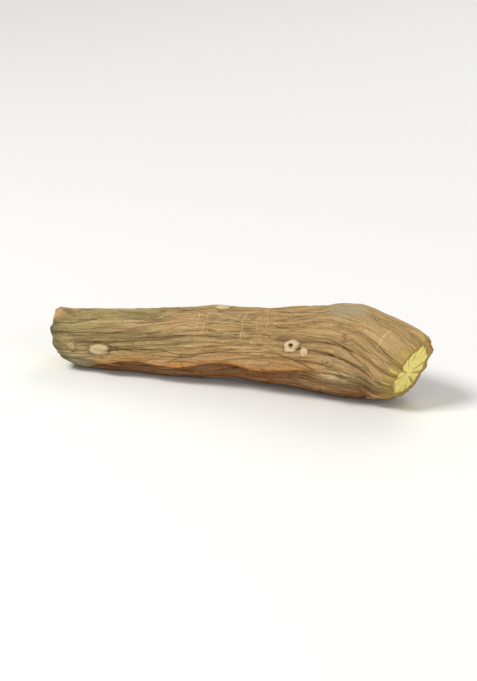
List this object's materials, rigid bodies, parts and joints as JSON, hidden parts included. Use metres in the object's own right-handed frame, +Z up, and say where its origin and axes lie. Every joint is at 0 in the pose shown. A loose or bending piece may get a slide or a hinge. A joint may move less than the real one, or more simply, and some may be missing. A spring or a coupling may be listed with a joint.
{
  "type": "giloy root",
  "caption": "Cut length of giloy: a ridged, corky climbing stem lying on its side, swollen at a leaf joint, with raised breathing spots and slanting cut ends.",
  "frame": {"origin": "on the surface the stem lies on, under the middle of its box", "axes": "+X along the stem from its thin end to its swollen joint, +Z up, -Y the side that faces front"},
  "size_m": [0.1038, 0.0242, 0.0242],
  "materials": {
    "stem_bark": "matt olive-brown cork, yellow-green where it is cut"
  },
  "bodies": {
    "root": {"giloy_stem": "stem_bark"}
  },
  "joints": []
}
